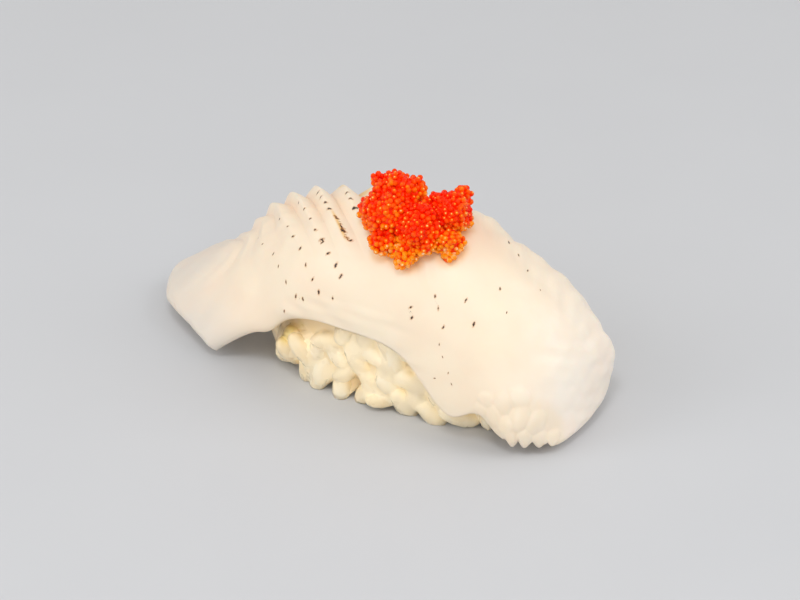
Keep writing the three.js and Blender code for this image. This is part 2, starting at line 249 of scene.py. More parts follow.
# smooth rail: a cubic through the stations, its slope half the step between the neighbours
def rail(points, share):
    points = np.asarray(points, dtype=float)
    padded = np.vstack([2 * points[0] - points[1], points, 2 * points[-1] - points[-2]])
    place = np.clip(share, 0.0, 1.0) * (len(points) - 1)
    i = np.minimum(place.astype(int), len(points) - 2)
    t = (place - i)[..., None]
    a, b, c, d = padded[i], padded[i + 1], padded[i + 2], padded[i + 3]
    return b + 0.5 * t * (c - a + t * (2 * a - 5 * b + 4 * c - d + t * (3 * (b - c) + d - a)))


# sum of bell curves, rise * exp(-((place - at) / reach)^2)
def bells(place, rows):
    return sum(rise * np.exp(-((place - at) / reach) ** 2) for at, reach, rise in rows)


# outer face: u from tip to heel, v from near to far edge; each section is two elliptic quarters that meet at
# the crown, shifted along u so that it leans on the near side and draws together on the far side; bell curves
# move the near edge and the far shoulder up or down, and the tongue's end is cut straight on the near side
def facePoint(u, v):
    s = squidShape
    u, v = np.broadcast_arrays(np.asarray(u, dtype=float), np.asarray(v, dtype=float))
    lean = between(u, *s["leanAlong"])
    nearness = (np.hypot(v, s["leanBend"]) - v) / 2.0
    drawn = s["fan"] * (u - s["fanPivot"]) * ease(v, 0.0, s["fanWide"])
    place = np.clip(u + lean * (s["lean"] * nearness - drawn), 0.0, 1.0)
    near, far = rail(s["near"], place), rail(s["far"], place)
    near[..., 2] += bells(place, s["hem"])
    crown = rail(np.stack([s["bulge"], s["crown"]], axis=-1), place)
    edge = np.where((v < 0)[..., None], near, far)
    angle = np.abs(v) * s["archAngle"]
    out = np.sin(angle) / np.sin(s["archAngle"])
    down = (1.0 - np.cos(angle)) / (1.0 - np.cos(s["archAngle"]))
    middle = (near + far) / 2.0
    size, reach = s["tipCut"]
    corner, width = s["tipCorner"]
    cut = size * np.maximum(1.0 - u / reach, 0.0) ** 2 * np.clip((-v - corner) / width, 0.0, 1.0)
    fade, *edgeFade = s["tipFade"]
    cut = cut * (1.0 - fade * ease(-v, *edgeFade))
    x = middle[..., 0] + (edge[..., 0] - middle[..., 0]) * out + crown[..., 0] * (1.0 - v * v) + cut
    y = middle[..., 1] + (edge[..., 1] - middle[..., 1]) * out
    swell = ease(v, *s["shoulder"]) * bells(place, s["swell"])
    z = crown[..., 1] + (edge[..., 2] - crown[..., 1]) * down + swell
    return np.stack([x, y, z], axis=-1)


# outward normal of the face: the cross product of two short steps along and across it
def faceNormal(u, v):
    c, step = squidShape["corner"], squidShape["step"]
    u, v = np.clip(u, c, 1.0 - c), np.clip(v, 2 * c - 1.0, 1.0 - 2 * c)
    along = facePoint(u + step, v) - facePoint(u - step, v)
    across = facePoint(u, v + step) - facePoint(u, v - step)
    normal = np.cross(along, across)
    return normal / np.linalg.norm(normal, axis=-1, keepdims=True)


# half thickness: less by a share of v^2 towards both edges, and by a band along the near edge over the rice
def halfThickness(u, v):
    s = squidShape
    thin = s["nearThinning"] * ease(-v, *s["thinAcross"]) * between(u, *s["thinAlong"])
    return 0.5 * s["thickness"] * (1.0 - s["edgeThinning"] * v * v - thin)


# share of the half thickness that is left: a quarter circle at the two ends, which stay blunt, times
# sqrt(1 - |v|^p) towards the edges
def fullness(u, v):
    s = squidShape
    nearEnd = np.minimum(1.0, np.minimum(u, 1.0 - u) / s["endRounding"])
    end = s["bluntEnd"] + (1.0 - s["bluntEnd"]) * np.sqrt(nearEnd * (2.0 - nearEnd))
    return end * np.sqrt(np.maximum(0.0, 1.0 - np.abs(v) ** s["edgePower"]))


# middle sheet of the slab: the face moved in along its normal by the half thickness
def slabSheet(u, v):
    normal, half = faceNormal(u, v), halfThickness(u, v)[..., None]
    return facePoint(u, v) - half * normal, half, normal


# even grid of u from 0 to 1 and v from -1 to 1, or of the parts of them that are given
def shareGrid(counts, along=(0.0, 1.0), across=(-1.0, 1.0)):
    return np.meshgrid(np.linspace(*along, counts[0]), np.linspace(*across, counts[1]), indexing="ij")


# the plain slab's box shows where the loaf's middle lies in the frame; across, only its far side is set
# against the solid's, because nubs stand out on the near one
uPlain, vPlain = shareGrid(squidShape["plainGrid"])
sheetPoint, sheetHalf, sheetNormal = slabSheet(uPlain, vPlain)
swell = sheetHalf * fullness(uPlain, vPlain)[..., None] * sheetNormal
slabPoints = np.concatenate([(sheetPoint + swell).reshape(-1, 3), (sheetPoint - swell).reshape(-1, 3)])
squidLow, squidHigh = (np.array(corner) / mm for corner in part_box("squid"))
seat = (squidLow + squidHigh - slabPoints.min(axis=0) - slabPoints.max(axis=0)) / 2.0
seat[1:] = squidHigh[1] - slabPoints[:, 1].max(), 0.0
print("loaf's middle in the frame, mm:", seat.round(2).tolist())

# the score cuts: rows of rounded teeth with sharp valleys, deep on the shoulder, faint elsewhere
scoring = {
    "pitch": 0.058,
    "crest": 0.412,
    "depth": 1.9,
    "blunt": 0.05,
    "spread": (0.129, 0.366),   # the lines spread on the far side, from a pivot
    "spreadAcross": (0.0, 0.4),
    "spreadAlong": (0.02, 0.1, 0.5, 0.62),
    "crowd": (0.12, 1.5, 2.3),  # and crowd together towards the tip: how much, from which line on, power
    "crowdAcross": (-0.3, 0.2),
    "shallow": (2.0, 4.6, 0.28),  # the cuts get shallower from line to line, down to a share
    "dip": (4.7, 1.2, 0.8),     # the face lies lower round this line: line, reach, depth
    "start": (0.0, 0.06),
    "last": (5.0, 7.0),         # the cuts end between these lines
    "stop": (0.50, 0.56),
    "across": (-0.62, 0.10),
    "faint": 0.32,              # depth of the cuts on the heel's far side that barely open
    "faintPitch": 0.025,
    "faintOdd": (0.3, 1.7),     # their least share of it, and how fast it changes from cut to cut
    "faintAcross": (0.02, 0.2),
    "faintAlong": (0.55, 0.64, 0.86, 0.93),
    "crossPitch": 1.9,          # the second cuts, along the slice
    "crossDepth": 0.1,
    "crossAcross": (-0.8, 0.0),
    "crossAlong": (0.14, 0.26, 0.4, 0.5),
    "halfWidth": 21.0,          # mm across the face for v from 0 to 1
    "fade": 1.6,                # how soon the relief is full, in from the rim
    "deepest": 0.6,             # no cut goes further below the middle sheet, in half thicknesses
}

# the face's unevenness: long waves by their length in mm, seed and share, and fine lines along the near edge
# and on the heel
unevenness = {
    "height": 0.12,
    "waves": [(13.0, 3, 1.0), (5.0, 4, 0.4)],
    "lineHeight": 0.14,
    "lineWave": (1.7, 12),
    "lineStretch": (0.22, 0.4, 1.0),
    "edgeAcross": (0.78, 0.9),
    "edgeAlong": (0.14, 0.2, 0.4, 0.5),
    "heelShare": 0.5,
    "heelAlong": (0.7, 0.8),
    "heelAcross": (-0.5, -0.2),
}

# the nubs of crossed cuts at the near lower corner of the heel, each with its share along and across and its
# half width and half height in mm, and the teeth that hang from the edge there
cornerNubs = {
    "nubs": [(0.721, -0.895, 1.2, 1.8), (0.821, -0.775, 1.4, 2.1), (0.800, -0.660, 1.7, 1.5),
             (0.694, -0.860, 1.3, 1.2), (0.777, -0.885, 1.3, 1.6), (0.886, -0.715, 1.4, 2.0),
             (0.796, -0.950, 1.1, 1.5), (0.873, -0.900, 1.2, 1.6), (0.934, -0.860, 1.2, 1.6),
             (0.966, -0.700, 1.1, 1.5), (0.753, -0.780, 1.3, 1.7), (0.664, -0.950, 1.1, 1.2)],
    "height": 0.3,
    "depth": 3.0,        # a nub counts this far off its own middle, mm
    "slope": 0.6,
    "step": 0.02,
    "wet": (5.0, 9.0),   # how far the wet shine round them reaches
    "middle": (23.6, -14.8, 2.8),
    "reach": (3.4, 6.0),
    "column": 2.33,      # from tooth to tooth
    "shift": -0.87,
    "turn": 0.52,
    "teeth": 1.25,
    "level": 0.45,       # the plain edge lies at this share of a tooth's height
    "edge": (0.86, 1.0),
    "end": (0.94, 1.0),
    "start": (0.74, 0.82),
    "lowest": 0.12,
}


# cuts as a depth below the face: a triangle wave, 0 on a crest that is a little blunt, 1 in the sharp valley;
# its lines spread from a pivot on the far side and crowd towards the tip; the faint cuts on the heel lie
# closer and differ from line to line
def scoreDepth(u, v):
    s = scoring
    size, pivot = s["spread"]
    spread = size * ease(v, *s["spreadAcross"]) * between(u, *s["spreadAlong"])
    place = u + spread * (pivot - u)
    line = (s["crest"] - place) / s["pitch"]
    much, first, power = s["crowd"]
    farSide = ease(v, *s["crowdAcross"])
    line = line + much * np.maximum(line - first, 0.0) ** power * farSide
    valley = 2.0 * (np.hypot(line - np.round(line), s["blunt"]) - s["blunt"])
    *toShallow, least = s["shallow"]
    deep = s["depth"] * ease(u, *s["start"]) * (1.0 - ease(place, *s["stop"])) * ease(v, *s["across"])
    deep = deep * (1.0 - (1.0 - least) * ease(line, *toShallow)) * (1.0 - ease(line, *s["last"]))
    dip = bells(line, [s["dip"]]) * farSide
    fine = u / s["faintPitch"]
    least, change = s["faintOdd"]
    odd = least + (1.0 - least) * np.abs(np.sin(change * np.round(fine - 0.5)))
    faint = s["faint"] * odd * ease(v, *s["faintAcross"]) * between(u, *s["faintAlong"])
    faint = faint * 2.0 * np.abs(fine - np.round(fine))
    scored = between(u, *s["crossAlong"]) * ease(v, *s["crossAcross"])
    cross = 1.0 - np.abs(np.cos(np.pi * v * s["halfWidth"] / s["crossPitch"]))
    return deep * valley + dip + faint + s["crossDepth"] * scored * cross * (1.0 - valley)


# nubs: the highest of blunt caps 1 - 0.6 d^3, d the distance in a nub's own half sizes; the teeth are |cos|
# along the edge, inside a mask round the corner
def nubRelief(points):
    n = cornerNubs
    bump = np.zeros(points.shape[:-1])
    for u, v, wide, tall in n["nubs"]:
        normal = faceNormal(u, v)
        up = facePoint(u, v + n["step"]) - facePoint(u, v - n["step"])
        up /= np.linalg.norm(up)
        axes = np.stack([np.cross(up, normal) / wide, up / tall, normal / n["depth"]], axis=-1)
        d = np.linalg.norm((points - facePoint(u, v)) @ axes, axis=-1)
        bump = np.maximum(bump, 1.0 - n["slope"] * d ** 3)
    mask = 1.0 - ease(np.linalg.norm(points - n["middle"], axis=-1), *n["reach"])
    level = points[..., 0] * np.cos(n["turn"]) + points[..., 1] * np.sin(n["turn"])
    tooth = np.abs(np.cos(np.pi * (level / n["column"] + n["shift"])))
    return mask, tooth, n["height"] * bump


# unevenness of the face in mm: waves in all directions, and fine lines where they show
def faceUnevenness(face, u, v):
    w = unevenness
    waves = w["height"] * sum(share * ripple(face, length, seed) for length, seed, share in w["waves"])
    nearEdge = ease(-v, *w["edgeAcross"]) * between(u, *w["edgeAlong"])
    lines = nearEdge + w["heelShare"] * ease(u, *w["heelAlong"]) * ease(v, *w["heelAcross"])
    return waves + w["lineHeight"] * lines * ripple(face * w["lineStretch"], *w["lineWave"])


# the slab's skin at u, v: the middle sheet moved out by the half thickness and the relief, or in for the
# underside, with the teeth hung from the corner's edge
def slabSkin(u, v, top):
    n = cornerNubs
    middle, half, normal = slabSheet(u, v)
    full = fullness(u, v)
    face = middle + half * normal
    half = half[..., 0]
    mask, tooth, nubs = nubRelief(face)
    relief = nubs + faceUnevenness(face, u, v) - scoreDepth(u, v)
    relief = relief * np.minimum(1.0, scoring["fade"] * full)
    rise = np.where(top, np.maximum(half * full + relief, -scoring["deepest"] * half), -half * full)
    skin = middle + rise[..., None] * normal
    border = np.maximum(ease(-v, *n["edge"]), ease(u, *n["end"])) * ease(u, *n["start"])
    hang = n["teeth"] * mask * border * (tooth - n["level"])
    skin[..., 2] = np.maximum(skin[..., 2] - hang, n["lowest"])
    return skin


# the heap of roe: clumps by their share along and across the face, height over it and radius in mm
roeHeap = {
    "clumps": [(0.484, -0.220, 2.0, 4.5), (0.530, -0.098, 4.6, 2.0), (0.511, -0.100, 5.3, 2.0),
               (0.491, -0.105, 4.8, 1.9), (0.480, -0.100, 5.6, 1.2), (0.440, -0.195, 1.2, 1.7),
               (0.447, -0.395, 1.2, 2.3), (0.486, -0.435, 1.0, 1.8), (0.534, -0.270, 1.8, 3.7),
               (0.600, -0.085, 2.2, 3.5), (0.617, 0.025, 3.9, 1.75), (0.634, 0.010, 1.2, 1.3),
               (0.603, -0.230, 1.2, 2.3), (0.599, -0.285, 0.8, 1.2), (0.427, -0.445, 0.6, 1.0),
               (0.581, -0.075, 3.0, 1.8), (0.560, -0.125, 2.8, 1.8), (0.465, -0.440, 0.8, 1.4)],
    "tones": [0.02, 0.18, 0.16, 0.12, 0.22, -0.12, 0.16, 0.22, -0.08,
              -0.04, 0.22, 0.0, 0.12, 0.2, 0.22, -0.15, -0.12, 0.22],  # each clump's own tone, redder below 0
    "egg": 0.92,
    "uneven": 0.2,
    "stretch": (0.95, 1.06),
    "spacing": 0.58,
    "closer": 0.8,       # places are first laid this much closer, and then thinned
    "honeycomb": 0.866,  # area of a cell, for a step of 1 from egg to egg
    "faceGrid": (61, 61),  # heights are taken over this part of the slice's face
    "faceAlong": (0.36, 0.72),
    "faceAcross": (-0.7, 0.3),
    "stray": 0.1,
    "covered": 0.4,      # an egg this far inside another clump is left out, mm
    "room": 0.45,        # and so is one with its middle lower than this over the slice
    "crag": 0.34,
    "cragWave": (3.0, 6),  # wavelength in mm and seed
    "stainAndRoeGlow": (-0.3, 2.2),  # the roe's painted orange glow runs this far into the slice, mm
    "inside": 0.24,      # the eggs' middles lie this far inside the clumps' skins
    "inset": 0.3,        # and the core lies this far inside them
    "insetMost": 0.7,    # but no further than this share of a clump's radius
    "coreGrid": (24, 16),
    "coreRoom": 0.12,
    "highlightWay": (0.21, -0.36, 0.66),  # each egg's painted highlight, a pale spot, is turned from straight out towards this way
    "highlightStray": 0.2,
    "highlightTone": (0.8, 1.0),
    "highlighted": 0.28,       # share of the eggs that have one
    "amberAt": 0.7,      # the tone of amber, below the painted highlight spots' 1
    "sides": 8,
    "rings": 6,
    "seed": 5,
}

# scorch marks: short rows of ticks along the crest lines, each with its line, the line's drift, the first and
# the last v, the number of ticks, their size and how black they are
scorchMarks = {
    "rows": [
        (0.08, -0.14, 0.085, -0.12, 3, 1.35, 1.0),
        (1.14, -0.25, 0.11, -0.23, 5, 1.2, 1.0),
        (0.92, -0.15, -0.2, -0.41, 7, 1.0, 0.3),
        (0.9, -0.13, -0.28, -0.395, 3, 0.9, 1.0),
        (2.08, -0.1, 0.005, -0.225, 3, 0.9, 0.9),
        (2.0, -0.02, -0.335, -0.405, 2, 1.25, 0.8),
        (1.93, -0.2, -0.44, -0.655, 4, 1.05, 1.0),
        (3.05, -0.1, -0.115, -0.705, 6, 0.95, 0.9),
        (2.84, -0.4, -0.77, -0.805, 2, 0.9, 1.0),
        (3.9, -0.05, -0.085, -0.705, 5, 0.75, 0.8),
        (3.7, -0.2, -0.815, -0.845, 2, 0.9, 0.8),
        (4.2, 0.0, -0.915, -0.915, 1, 0.7, 0.8),
        (-0.83, 0.05, -0.69, -0.75, 2, 0.75, 0.9),
        (-2.32, -0.4, -0.54, -0.635, 3, 0.75, 1.0),
        (-2.3, -0.5, -0.73, -0.855, 4, 0.5, 0.9),
        (-1.64, 0.0, -0.89, -0.89, 1, 0.5, 0.9),
        (-4.1, 0.0, -0.435, -0.435, 1, 0.95, 1.0),
        (-4.4, 0.0, -0.505, -0.505, 1, 0.9, 1.0),
        (-5.4, 0.0, -0.225, -0.225, 1, 0.95, 1.0),
        (-5.7, 0.0, -0.305, -0.305, 1, 0.4, 0.7),
        (-5.46, -0.56, 0.245, 0.135, 3, 0.85, 1.0),
        (-6.3, 0.0, 0.075, 0.075, 1, 0.4, 0.7),
    ],
    "length": 0.28,         # half length along the slice, mm
    "width": 0.18,
    "slim": (1.08, 1.25),   # how much longer and narrower they are, on the cuts and on the heel
    "heelLine": -2.0,       # the heel's lines are below this
    "heelTurn": 2.3,
    "nearTurn": (1.4, 0.3, 0.6),  # ticks turn by this towards the near edge, and from where to where
    "turnStray": 0.5,
    "stray": 0.25,          # how far a tick strays from its place, mm
    "lineStray": 0.05,
    "sizes": (0.75, 1.15),
    "reach": 1.5,           # a point further than this from every tick has none, mm
    "far": 9.0,             # what a place away from every tick is given
    "seed": 11,
}

# toasted places on the scored face: each with its line, its reach and its strength, and where it lies across
toasting = {
    "band": (0.9, 0.06, 0.9),
    "bandAcross": (-0.42, -0.34, -0.22, -0.1),
    "rim": (-0.75, 0.3, 0.9),
    "rimAcross": (0.12, 0.3),
    "tip": (0.0, 0.12, 0.6),
    "tipAcross": (0.2, 0.34),
}


# where each tick lies: evenly along its row with a seeded stray, with its sizes, its turn and its blackness
def tickList():
    m = scorchMarks
    draw = np.random.default_rng(m["seed"])
    most, *nearEdge = m["nearTurn"]
    ticks = []
    for line, drift, first, last, count, size, black in m["rows"]:
        share = np.linspace(0, 1, count)
        stray = m["stray"] / scoring["halfWidth"] * draw.uniform(-1, 1, count)
        v = first + (last - first) * share + stray
        line = line + drift * share + m["lineStray"] * draw.uniform(-1, 1, count)
        u = scoring["crest"] - scoring["pitch"] * line
        sizes = size * draw.uniform(*m["sizes"], count)
        onHeel = line[0] < m["heelLine"]
        slim = m["slim"][int(onHeel)]
        turn = np.where(onHeel, m["heelTurn"], most * ease(-v, *nearEdge))
        turn = turn + m["turnStray"] * draw.uniform(-1, 1, count)
        ticks.append(np.stack([u, v, sizes * slim, sizes / slim, turn, np.full(count, black)], axis=-1))
    return np.concatenate(ticks)


# each point's place by its nearest tick: along and across it in its own half lengths, and its blackness
def tickPlaces(points):
    m = scorchMarks
    u, v, length, width, turn, black = tickList().T
    place = slabSkin(u, v, True)
    step = squidShape["step"]
    along = slabSkin(u + step, v, True) - slabSkin(u - step, v, True)
    along /= np.linalg.norm(along, axis=-1, keepdims=True)
    across = np.cross(faceNormal(u, v), along)
    across /= np.linalg.norm(across, axis=-1, keepdims=True)
    long = along * np.cos(turn)[:, None] + across * np.sin(turn)[:, None]
    short = across * np.cos(turn)[:, None] - along * np.sin(turn)[:, None]
    nearest = np.full(len(points), m["reach"])
    ticks = np.full((len(points), 3), m["far"])
    for i in range(len(u)):
        away = points - place[i]
        gap = np.linalg.norm(away, axis=-1)
        closer = gap < nearest
        a = away[closer] @ long[i] / (m["length"] * length[i])
        b = away[closer] @ short[i] / (m["width"] * width[i])
        ticks[closer] = np.stack([a, b, np.full(len(a), black[i])], axis=-1)
        nearest = np.where(closer, gap, nearest)
    return ticks, nearest


# how toasted the face is: bell curves round lines of the scoring, for a narrow band along the strongest row
# of ticks, a rim on the last open tooth and the tip of the next
def toastAmount(u, v):
    t = toasting
    line = (scoring["crest"] - u) / scoring["pitch"]
    band = bells(line, [t["band"]]) * between(v, *t["bandAcross"])
    rim = bells(line, [t["rim"]]) * ease(v, *t["rimAcross"])
    tip = bells(line, [t["tip"]]) * ease(v, *t["tipAcross"])
    return np.clip(band + rim + tip, 0.0, 1.0)


# middles of the heap's clumps: each at its height over the face, along the normal
def clumpMiddles():
    u, v, height, radius = np.array(roeHeap["clumps"]).T
    return facePoint(u, v) + height[:, None] * faceNormal(u, v), radius


# how far the roe's painted orange glow runs into the face round it, from the distance to the nearest clump's
# skin
def roeGlow(points):
    gap = np.min([np.linalg.norm(points - c, axis=-1) - r for c, r in zip(*clumpMiddles())], axis=0)
    return 1.0 - ease(gap, *roeHeap["stainAndRoeGlow"])


# where the slice's colours lie: ranges along and across, and how much of each
squidTints = {
    # the tip's painted grey shade fades out between these shares along
    "tipShadeAlong": (0.01, 0.15),
    "tipShadeSkew": (0.08, -0.3, 0.3),   # the tip's painted grey shade reaches further on the far side
    "heelAlong": (0.7, 0.95),
    # painted shade in the score cuts, pinker by their depth
    "cutShade": 0.7,
    "lowHeel": (0.25, 0.86, 0.97),   # blush at the heel's end: how much, and from where to where
    "behindRoe": (0.66, 0.06, 0.12, 0.22),  # and behind the roe, a painted pink glow from it: its middle and its reach, along and across
}


# the slice's colour amounts at each point: eased steps along it, the cuts' depth for their painted shade,
# bell curves and distances, on the outer face alone where they are marks of the face
def squidAttributes(points, u, v, isTop):
    t = squidTints
    ticks, gap = tickPlaces(points)
    skew, *farSide = t["tipShadeSkew"]
    share, *heelEnd = t["lowHeel"]
    uRoe, reach, vRoe, width = t["behindRoe"]
    behindRoe = np.exp(-((u - uRoe) / reach) ** 2 - ((v - vRoe) / width) ** 2)
    # painted shade: the score cuts are pinker by their depth
    cut = t["cutShade"] * scoreDepth(u, v) / scoring["depth"]
    blushAndPaintedShade = np.maximum.reduce([cut, share * ease(u, *heelEnd), behindRoe])
    wet = 1.0 - ease(np.linalg.norm(points - cornerNubs["middle"], axis=-1), *cornerNubs["wet"])
    return {
        "tick": np.where(isTop[:, None], ticks, scorchMarks["far"]),
        "gap": np.where(isTop, gap, scorchMarks["reach"]),
        "toast": np.where(isTop, toastAmount(u, v), 0.0),
        "stainAndRoeGlow": np.where(isTop, roeGlow(points), 0.0),
        "tipShadeFade": ease(u - skew * ease(v, *farSide), *t["tipShadeAlong"]),
        "heel": ease(u, *t["heelAlong"]),
        "blushAndPaintedShade": np.where(isTop, blushAndPaintedShade, 0.0),
        "wet": np.where(isTop, wet, 0.0),
    }


# the slice as a closed tube: at each station from tip to heel a loop of points, over the face and back along
# the underside, with quads between the loops and both ends filled
def makeSquid():
    s = squidShape
    share = np.linspace(0, 1, s["stations"])
    u = np.interp(share, *s["stationMarks"])
    k = np.linspace(0, 1, s["across"] + 1)
    vTop = k - 0.5 - 0.5 * np.cos(np.pi * k)
    stride = s["across"] // s["under"]
    v = np.concatenate([vTop, vTop[::-1][stride:-stride:stride]])
    loop = len(v)
    uGrid, vGrid = np.meshgrid(u, v, indexing="ij")
    top = np.broadcast_to(np.arange(loop) <= s["across"], uGrid.shape)
    points = slabSkin(uGrid, vGrid, top).reshape(-1, 3)
    i, j = np.meshgrid(np.arange(len(u) - 1), np.arange(loop), indexing="ij")
    a, b = i * loop + j, i * loop + (j + 1) % loop
    quads = np.stack([a, a + loop, b + loop, b], axis=-1).reshape(-1, 4)
    # each end is closed by fans from the underside's points to the face's finer steps
    upper, lower = np.arange(s["across"]), np.arange(s["under"])
    under = np.concatenate([[0], loop - lower[1:], [s["across"]]])
    fans = np.stack([upper, upper + 1, under[upper // stride]], axis=-1)
    fill = np.stack([(lower + 1) * stride, under[lower + 1], under[lower]], axis=-1)
    caps = np.concatenate([fans[1:], fill[:-1]])
    last = (len(u) - 1) * loop
    faceSets = [quads, caps, last + caps[:, ::-1]]
    attributes = squidAttributes(points, uGrid.ravel(), vGrid.ravel(), top.ravel())
    piece = makePiece("squid_slice", points + seat, faceSets, attributes, squidFinish())
    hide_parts("squid")


squidColours = {
    # tip: painted shade on the tongue's end
    "tip": screen(228, 218, 205),
    "warm": screen(253, 234, 209),
    "heel": screen(254, 243, 231),
    # the blush colour, also the painted shade in the cuts and behind the roe
    "blushAndPaintedShade": screen(248, 216, 188),
    "wet": screen(245, 226, 196),
    # the roe's painted orange glow on the slice round it
    "stainAndRoeGlow": screen(252, 196, 110),
    "toast": screen(240, 196, 112),
    "halo": screen(205, 146, 72),
    "brown": screen(112, 60, 14),
    "burnt": screen(40, 14, 4),
}


# squid: milky cream, greyer at the tip with painted shade and paler at the heel, pinker in the cuts with
# painted shade, orange with painted glow round the roe, with scorched ticks and rims; each colour is mixed
# over the last by its amount
def squidFinish():
    c = squidColours
    sockets = {"Subsurface Weight": 0.25, "Subsurface Scale": 0.002, "Subsurface Radius": (1.0, 0.72, 0.5),
               "Coat Roughness": 0.18}
    material, tree, shader, place = newFinish("squid_flesh", sockets)
    mottle = addRange(tree, addNoise(tree, place, 110.0, 4.0), 0.35, 0.7)
    # painted shade: the tip greyer, fading into warm cream along the slice
    cream = addMix(tree, attributeOf(tree, "tipShadeFade"), c["tip"], c["warm"])
    cream = addMix(tree, attributeOf(tree, "heel"), cream, c["heel"])
    cream = addMix(tree, addRange(tree, mottle, 0.0, 1.0, 0.0, 0.2), cream, c["blushAndPaintedShade"])
    # the blush with painted shade in the cuts and behind the roe, the wet tint, and the roe's painted glow
    for key, share in (("blushAndPaintedShade", 0.8), ("wet", 0.6), ("stainAndRoeGlow", 0.55)):
        amount = addRange(tree, attributeOf(tree, key), 0.0, 1.0, 0.0, share)
        cream = addMix(tree, amount, cream, c[key])
    cream = addMix(tree, attributeOf(tree, "toast"), cream, c["toast"])
    # a tick is an ellipse in its own axes, with an uneven outline, blackest in the middle
    axes = addNode(tree, "ShaderNodeSeparateXYZ")
    tick = addNode(tree, "ShaderNodeAttribute", attribute_name="tick").outputs["Vector"]
    tree.links.new(tick, axes.inputs[0])
    flat = addNode(tree, "ShaderNodeCombineXYZ")
    tree.links.new(axes.outputs["X"], flat.inputs["X"])
    tree.links.new(axes.outputs["Y"], flat.inputs["Y"])
    length = addNode(tree, "ShaderNodeVectorMath", operation="LENGTH")
    tree.links.new(flat.outputs[0], length.inputs[0])
    uneven = addRange(tree, addNoise(tree, place, 2600.0, 2.0), 0.3, 0.7, -0.4, 0.4)
    size = addMath(tree, "ADD", length.outputs["Value"], uneven)
    near = addRange(tree, attributeOf(tree, "gap"), 0.5, 0.8, 1.0, 0.0)
    core = addMath(tree, "MULTIPLY", addRange(tree, size, 0.75, 1.15, 1.0, 0.0), near)
    halo = addMath(tree, "MULTIPLY", addRange(tree, size, 0.9, 2.3, 0.6, 0.0), near)
    char = addMath(tree, "MULTIPLY", addRange(tree, size, 0.3, 1.2, 1.0, 0.5), axes.outputs["Z"])
    stainAndRoeGlow = addRamp(tree, char, [(0.0, c["halo"]), (0.4, c["brown"]), (0.85, c["burnt"])])
    colour = addMix(tree, halo, cream, c["halo"])
    colour = addMix(tree, core, colour, stainAndRoeGlow)
    tree.links.new(colour, shader.inputs["Base Color"])
    milky = addRange(tree, core, 0.0, 0.5, sockets["Subsurface Weight"], 0.0)
    tree.links.new(milky, shader.inputs["Subsurface Weight"])
    coat = addRange(tree, attributeOf(tree, "wet"), 0.0, 1.0, 0.08, 0.6)
    tree.links.new(coat, shader.inputs["Coat Weight"])
    fine = addBump(tree, addNoise(tree, place, 900.0, 2.0), 0.1, 0.0002)
    broad = addBump(tree, addNoise(tree, place, 260.0, 3.0), 0.12, 0.0005, fine)
    tree.links.new(broad, shader.inputs["Normal"])
    dull = addRange(tree, addNoise(tree, place, 180.0), 0.3, 0.7, 0.36, 0.5)
    tree.links.new(dull, shader.inputs["Roughness"])
    return material


makeSquid()

# the loaf of rice: a squared-off egg shape, |x/a|^p + |y/b|^p + |z/c|^p = 1, and the grains laid over it
riceLoaf = {
    "middle": (-2.5, 0.0, 9.0),
    "half": (25.2, 13.7, 16.0),
    "power": 2.4,
    "coreShare": 0.955,
    "blend": 0.27,              # how softly the grains run into each other, mm
    "skin": 0.13,               # the skin that binds them lies this far inside them
    "footShare": 0.11,          # the core is smaller by this share at the foot
    "foot": 0.0,
    "grain": (6.6, 3.4, 3.2),   # length, width and depth
    "uneven": 0.15,
    "rowFirst": 1.6,
    "rowStep": 2.7,
    "rows": 8,
    "along": (4.1, 3.9),        # from grain to grain in the lowest row and in the others
    "low": 3.6,                 # grains below this height stand out more
    "sunk": (0.1, 0.4),
    "tilt": (0.9, 0.6),
    "sides": 10,
    "rings": 7,
    "skinGrid": (280, 140),
    "push": 0.35,               # how far a grain is moved out at a time to clear the slice, mm
    "pushes": 6,
    "farPush": 0.3,             # on the far side they are moved this share of it
    "clear": 0.2,
    "down": 0.6,                # a push goes down by this much as it goes out
    "ends": (-0.65, 0.0, 0.65),  # where along a grain its distance to the slice is measured, in half lengths
    "fit": 0.9,
    "upright": (0.6, 0.5),      # the share of grains that stand on end, and how far they stray from it
    "arcStray": 0.25,
    "heightStray": 0.4,
    "blunt": 0.9,               # power that fills out the grains' ends
    "bend": (0.18, 0.4),
    "plump": (0.06, 3.0, 6.28),  # the waist's size, its waves along the grain and the span of seeded starts
    "footAt": (1.0, 5.0),
    "search": (0.8, 1.3, 11),   # the binding skin is looked for between these sizes, in this many halvings
    "drawIn": (0.975, 24),      # and drawn in by this share at a time under the slice, this often at most
    "gapShadeFrom": (1.08, 0.12),    # the painted shade in the gaps starts at this size of the loaf and is full this far in
    "ringSteps": 721,
    "sheetSkip": (4, 3),        # the slice's sheet is taken at every fourth station and third place across
    "batches": (400, 1500),     # points worked out at a time, for the slice and for the grains
    # painted shade under the slice: full this close to it, gone this far, mm
    "tuckUnder": (0.3, 3.5),
    "tuckEnd": (-12.0, -3.0),   # the yellow painted shade tucked under the slice ends here along x
    "seed": 21,
}


# size of the loaf in a direction: the power sum that is 1 on its skin
def loafLevel(points):
    r = riceLoaf
    share = np.abs((points - r["middle"]) / np.array(r["half"]))
    return (share ** r["power"]).sum(axis=-1) ** (1.0 / r["power"])


# outward normal of the loaf: the power sum's slope, sign(s) |s|^(p - 1) / half size, made of unit length
def loafNormal(points):
    r = riceLoaf
    share = (points - r["middle"]) / np.array(r["half"])
    slope = np.sign(share) * np.abs(share) ** (r["power"] - 1.0) / np.array(r["half"])
    return slope / np.linalg.norm(slope, axis=-1, keepdims=True)


